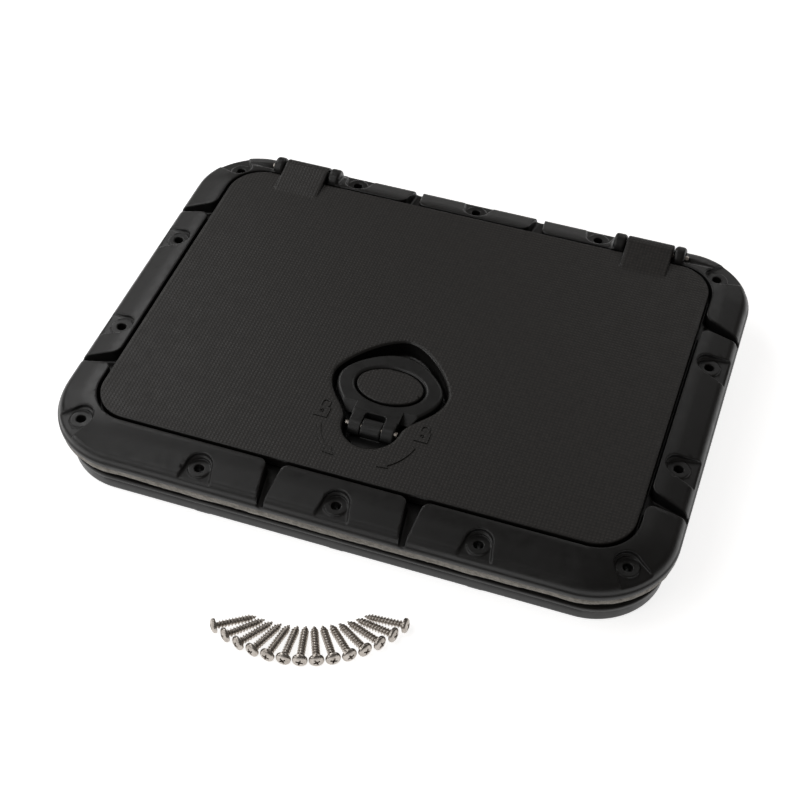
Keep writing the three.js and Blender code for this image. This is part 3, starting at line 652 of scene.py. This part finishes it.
def arc_arrow():
    """The outline of a curved arrow round the latch's axis, from the right padlock towards the front."""
    middle, half = 31.8, 1.3
    sweep = np.radians(np.linspace(-12, -52, 15))
    outer = [(middle + half, angle) for angle in sweep]
    inner = [(middle - half, angle) for angle in sweep[::-1]]
    head = [(middle + 3.4, sweep[-1]), (middle, math.radians(-64)), (middle - 3.4, sweep[-1])]
    centre_y = LATCH_Y - 2.8
    return [(radius * math.cos(angle), centre_y + radius * math.sin(angle))
            for radius, angle in outer + head + inner]


def build_marks():
    """Shallow raised padlocks and arrows on the lid, beside the latch."""
    field = Field((12, -116, LID_TOP - 0.9), (40, -67, LID_TOP + 0.9), 0.22)
    x, y, z = field.x[:, :, 0], field.y[:, :, 0], field.z
    for word, side, lift in (("locked", 1, 0.0), ("open", -1, 1.2)):
        across = x - 33.2
        keyhole = disc(across, y + 80.2, 0)
        body = rect(across, y, 4.6, -84.7, -76.2, 0.25)
        body = np.maximum(body, -np.maximum(keyhole - 1.25, 0.6 - keyhole))
        bow = np.abs(disc(across, np.maximum(y + 74 - lift, 0), 2.6)) - 0.65
        bow = np.maximum(bow, -77 - y + (across < 0) * 1.6 * (lift > 0))
        mark = np.minimum(np.minimum(body, bow), polygon(x, y, arc_arrow()))[:, :, None]
        field.solid = meet(mark, np.abs(z - LID_TOP + 0.1) - 0.65, 0.12)
        vertices, faces, normals = field.surface(0.0)
        mirror = np.array((side, 1, 1))
        mesh = make_mesh("lid_mark_" + word, vertices * mirror, faces, normals * mirror)
        piece("lid_mark_" + word, mesh, LID_PLASTIC, "lid", "lid_plastic")


def build_seal():
    """A rubber strip under the lid, above the top of the frame's neck."""
    field = Field((0, -121.5, 39), (170.5, 121.5, 44.5), 0.6, mirror=True)
    x, y, z = field.x, field.y, field.z
    across = slab(neck(x, y, 0), -5.1, 2.6)
    field.solid = meet(across, slab(z, 40.35, 43.2), 1.1)
    field_piece("lid_seal_rubber", field, 0.03, RUBBER, "lid", "rubber", "lid_seal")


# ---------- handle and latch ----------

def build_handle():
    """A bell-shaped ring, with two lugs for the pin and a slot between them for the post."""
    field = Field((0, -88.5, 35.5), (36.5, -17.5, 49.5), 0.3, mirror=True)
    x, y, z = field.x, field.y, field.z
    bottom = LID_TOP - 6.6
    outline = polygon(x[:, :, 0], y[:, :, 0], bell(-17.3, 35.0, 15.6))[:, :, None]
    body = meet(meet(outline, z - HANDLE_TOP, 2.2), bottom - z, 1.2)
    body = carve(body, ellipse(x, y - FINGER_Y, 23, 15.7), 2.4)
    body = meet(body, LATCH_Y + 6 - y)
    shoulder = (z - HANDLE_TOP - (y + 64.5)) * 0.707
    body = carve(body, np.maximum(-shoulder, 15.7 - x), 0.4)
    above_pin = np.maximum(np.abs(y - LATCH_Y - 2) - 8, PIVOT_Z - z)
    lug = np.minimum(disc(y - LATCH_Y, z - PIVOT_Z, 6), above_pin)
    lug = np.maximum(lug, meet(z - HANDLE_TOP, LATCH_Y - 6 - y, 9.5))
    lug = meet(lug, np.abs(x) - 15.4, 1.2)
    body = join(body, lug, 0.4)
    slot = rect(x, y, 6.9, LATCH_Y - 20, LATCH_Y + 9.2, 2.4)
    body = carve(body, slot, 0.6)
    field.solid = np.maximum(body, -disc(y - LATCH_Y, z - PIVOT_Z, HANDLE_HOLE))
    field_piece("handle_moulding", field, 0.01, LATCH_PLASTIC, "handle", "latch_plastic", "handle_ring")


def build_handle_pin():
    field = Field((-18.4, LATCH_Y - 3, PIVOT_Z - 3), (18.4, LATCH_Y + 3, PIVOT_Z + 3), 0.25)
    bar = disc(field.y - LATCH_Y, field.z - PIVOT_Z, HANDLE_PIN)
    field.solid = meet(bar, np.abs(field.x) - 17.4, 0.6)
    field_piece("handle_pin_steel", field, 0.0, STEEL, "lid", "steel", "handle_pin")


def build_post():
    """A round base, and on it the post that the handle's pin goes through."""
    half = BASE_RADIUS + 1
    field = Field((-half, LATCH_Y - half, 33), (half, LATCH_Y + half, 47.5), 0.3)
    x, y, z = field.x, field.y - LATCH_Y, field.z
    base = meet(disc(x, y, BASE_RADIUS), slab(z, 33.8, 35.8), 0.6)
    nose = meet(meet(disc(y, z - PIVOT_Z, 6.0), disc(y - 3, z - 36.5, 9.3), 1.2), z - 45.5, 1.5)
    stem = meet(slab(y, -3.4, 5.0), slab(z, 34.5, PIVOT_Z), 0.4)
    back = np.maximum(slab(y, 0, 5.0), slab(z, 34.5, 45))
    post = meet(np.minimum(join(nose, stem, 1.0), back), np.abs(x) - 6.65, 0.7)
    body = join(base, post, 1.2)
    field.solid = np.maximum(body, -disc(y, z - PIVOT_Z, HANDLE_HOLE))
    field_piece("latch_post_moulding", field, 0.01, LATCH_PLASTIC, "lid", "latch_plastic", "latch_post")


def round_field(half, low, high, cell=0.3):
    """A field about the latch's axis, with coordinates from that axis."""
    wide = half + 1
    made = Field((-wide, LATCH_Y - wide, low - 1), (wide, LATCH_Y + wide, high + 1), cell)
    return made, made.x, made.y - LATCH_Y, made.z


def latch_piece(name, node, field, finish, slot, adaptivity=0.0):
    field_piece(name, field, adaptivity, finish, "latch", slot, node)


def build_latch():
    """Spindle, O-ring, thrust washer, bar, bar washer and bar screw, from the top down."""
    field, x, y, z = round_field(6, SPINDLE_END, SPINDLE_TOP)
    spindle = meet(disc(x, y, 6), slab(z, SPINDLE_SHOULDER, SPINDLE_TOP), 0.4)
    square = rect(x, y, 4.2, -4.2, 4.2, 0.6)
    spindle = join(spindle, meet(square, slab(z, SPINDLE_END, 29), 0.3))
    groove = np.maximum(-disc(x, y, 5.1), slab(z, 30.5, 32.5))
    spindle = carve(spindle, groove, 0.2)
    field.solid = np.maximum(spindle, -np.maximum(disc(x, y, 2.3), z - 31.2))
    latch_piece("latch_spindle_moulding", "latch_spindle", field, LATCH_PLASTIC, "latch_plastic")

    field, x, y, z = round_field(7.4, 30.6, 32.4, 0.25)
    field.solid = disc(disc(x, y, 6.35), z - 31.5, 0.85)
    latch_piece("spindle_seal_rubber", "spindle_seal", field, RUBBER, "rubber")

    low, high = SPINDLE_SHOULDER, SPINDLE_SHOULDER + 1
    field, x, y, z = round_field(11, low, high, 0.25)
    field.solid = meet(meet(disc(x, y, 11), slab(z, low, high), 0.3), -disc(x, y, 6.8), 0.2)
    latch_piece("thrust_washer_disc", "thrust_washer", field, LATCH_PLASTIC, "latch_plastic")

    field, x, y, z = round_field(BAR_HALF_LENGTH, BAR_BOTTOM, BAR_TOP, 0.35)
    bar = np.minimum(rect(x, y, BAR_HALF_LENGTH, -7, 7, 7), disc(x, y, 9.5))
    bar = meet(bar, slab(z, BAR_BOTTOM, BAR_TOP), 1.2)
    field.solid = np.maximum(bar, -rect(x, y, 4.5, -4.5, 4.5, 0.5))
    latch_piece("latch_bar_moulding", "latch_bar", field, LATCH_PLASTIC, "latch_plastic", 0.01)

    field, x, y, z = round_field(8, BAR_WASHER_BOTTOM, BAR_WASHER_TOP, 0.25)
    washer = meet(disc(x, y, 8), slab(z, BAR_WASHER_BOTTOM, BAR_WASHER_TOP), 0.25)
    field.solid = meet(washer, -disc(x, y, 2.4), 0.1)
    latch_piece("bar_washer_steel", "bar_washer", field, STEEL, "steel")

    field, x, y, z = round_field(4.2, BAR_SCREW_BOTTOM, 31, 0.2)
    head = meet(disc(x, y, 4.2), slab(z, BAR_SCREW_BOTTOM, 21.3), 0.9)
    shank = np.maximum(disc(x, y, 1.95), slab(z, 20, 30.7))
    field.solid = np.maximum(np.minimum(head, shank), -cross_recess(x, y, z - BAR_SCREW_BOTTOM))
    latch_piece("bar_screw_steel", "bar_screw", field, STEEL, "steel")


# ---------- screws ----------

def cross_recess(x, y, depth):
    """A tapering cross, cut into a screw head; depth counts from the top of the head inwards."""
    half_length, half_width, bottom = 2.3, 0.5, 1.9
    end_taper, side_taper = 0.24 * depth, 0.08 * depth
    arms = np.minimum(
        np.maximum(np.abs(x) - half_length + end_taper, np.abs(y) - half_width + side_taper),
        np.maximum(np.abs(y) - half_length + end_taper, np.abs(x) - half_width + side_taper))
    middle = (np.abs(x) + np.abs(y)) * 0.707 - 1.05 + 0.3 * depth
    return np.maximum(np.minimum(arms, middle), depth - bottom)


def screw_shape():
    """A pan-head screw along +Y, with a cross recess and a coarse thread that runs out at its point."""
    field = Field((-5.2, -4.0, -5.2), (5.2, 26.2, 5.2), 0.17)
    x, y, z = field.x, field.y, field.z
    radius = np.hypot(x, z)
    dome = disc(radius, y - 5.2, 8.4)
    head = meet(meet(radius - HEAD_RADIUS, dome, 0.6), slab(y, -HEAD_HEIGHT, 0), 0.25)
    pitch, point, core_radius, thread_height = 2.0, 4.6, 1.68, 0.86
    turn = np.arctan2(z, x) / (2 * np.pi)
    phase = np.abs(((y / pitch - turn) % 1.0) - 0.5) * 2
    ridge = np.clip((phase - 0.4) / 0.5, 0, 1)
    thin = np.clip((SCREW_LENGTH - y) / point, 0, 1) ** 0.8
    crest = np.where(y < 1.2, 0, 1)
    core = core_radius * thin
    outer = core + (thread_height * thin ** 0.6) * ridge * crest
    shank = np.maximum((radius - outer) * 0.8, slab(y, -0.5, SCREW_LENGTH))
    body = join(head, shank, 0.2)
    return field, np.maximum(body, -cross_recess(x, z, y + HEAD_HEIGHT)).astype(np.float32)


def build_screws():
    """Screws in a fan on the floor, lying on the edges of their heads and on their threads."""
    field, field.solid = screw_shape()
    vertices, faces, normals = field.surface(0.0)
    count, fan_radius, fan_half_angle, half_turn = 14, 77.3, 46.2, 71
    thread_radius, rests_at = 2.4, 20
    tilt = math.atan2(HEAD_RADIUS - thread_radius, rests_at)
    fan = Matrix.Translation((-11.4, -157.1, 0)) @ Matrix.Rotation(math.radians(19.2), 4, "Z")
    for number in range(count):
        share = 2 * number / (count - 1) - 1
        along, turn = math.radians(share * fan_half_angle), math.radians(share * half_turn)
        place = fan @ Matrix.Translation((fan_radius * math.sin(along), -fan_radius * math.cos(along), 0))
        place = place @ Matrix.Rotation(turn, 4, "Z") @ Matrix.Rotation(-tilt, 4, "X")
        place = np.array(place @ Matrix.Rotation(number * 2.4, 4, "Y"))
        placed = vertices @ place[:3, :3].T + place[:3, 3]
        placed[:, 2] -= placed[:, 2].min()
        name = f"mounting_screw_{number + 1:02d}"
        mesh = make_mesh(name + "_steel", placed, faces, normals @ place[:3, :3].T)
        piece(name + "_steel", mesh, STEEL, "hatch_frame", "steel", name)


# ---------- stage, in metres ----------

def camera():
    """A long lens from the front right, looking down at the lid."""
    lens = bpy.data.cameras.new("camera")
    lens.lens = 72.23
    lens.sensor_width = 36
    lens.clip_start = 0.05
    made = bpy.data.objects.new("camera", lens)
    bpy.context.scene.collection.objects.link(made)
    azimuth, elevation, distance = math.radians(19.158), math.radians(47.553), 1.0157
    level = math.cos(elevation)
    back = Vector((math.sin(azimuth) * level, -math.cos(azimuth) * level, math.sin(elevation)))
    right = Vector((math.cos(azimuth), math.sin(azimuth), 0))
    target = Vector((9.95, HATCH_Y - 55.5, LID_TOP)) * MM
    matrix = Matrix((right, back.cross(right), back)).transposed().to_4x4()
    matrix.translation = target + back * distance
    made.matrix_world = matrix
    bpy.context.scene.camera = made


def lamp(name, place, size, power):
    """A soft lamp that points at the hatch."""
    data = bpy.data.lights.new(name, "AREA")
    data.shape = "RECTANGLE"
    data.size, data.size_y = size
    data.energy = power
    made = bpy.data.objects.new(name, data)
    bpy.context.scene.collection.objects.link(made)
    made.location = place
    made.rotation_euler = (Vector((0, 0, 0.04)) - Vector(place)).to_track_quat("-Z", "Y").to_euler()


def stage():
    mesh = bpy.data.meshes.new("floor")
    mesh.from_pydata([(-3, -3, 0), (3, -3, 0), (3, 3, 0), (-3, 3, 0)], [], [(0, 1, 2, 3)])
    floor = bpy.data.objects.new("floor", mesh)
    bpy.context.scene.collection.objects.link(floor)
    paper = Finish("paper", Roughness=0.9, Emission_Color=(1, 1, 1, 1), Emission_Strength=0.8)
    paper.colour(paper.noise(3, 2), (0.86, 0.86, 0.86), (0.9, 0.9, 0.9))
    mesh.materials.append(paper.material)
    world = bpy.data.worlds.new("world")
    bpy.context.scene.world = world
    world.use_nodes = True
    sky = world.node_tree.nodes["Background"]
    sky.inputs[0].default_value = (1, 0.94, 0.88, 1)
    sky.inputs[1].default_value = 0.12
    lamp("key", (-1.1, 0.75, 1.1), (0.8, 0.8), 5.6)
    lamp("back", (0.35, 1.7, 1.2), (1.0, 1.0), 3)
    lamp("front", (-0.95, -1.3, 1.0), (1.0, 1.0), 4.6)
    lamp("top", (-0.75, -0.35, 1.5), (0.8, 0.8), 3)
    lamp("left", (-1.5, -0.45, 0.65), (0.7, 0.5), 3)
    bpy.context.scene.view_settings.view_transform = "Standard"


camera()
stage()
build_frame()
build_gasket()
build_ring()
build_pins()
build_lid()
build_marks()
build_seal()
build_handle()
build_handle_pin()
build_post()
build_latch()
build_screws()
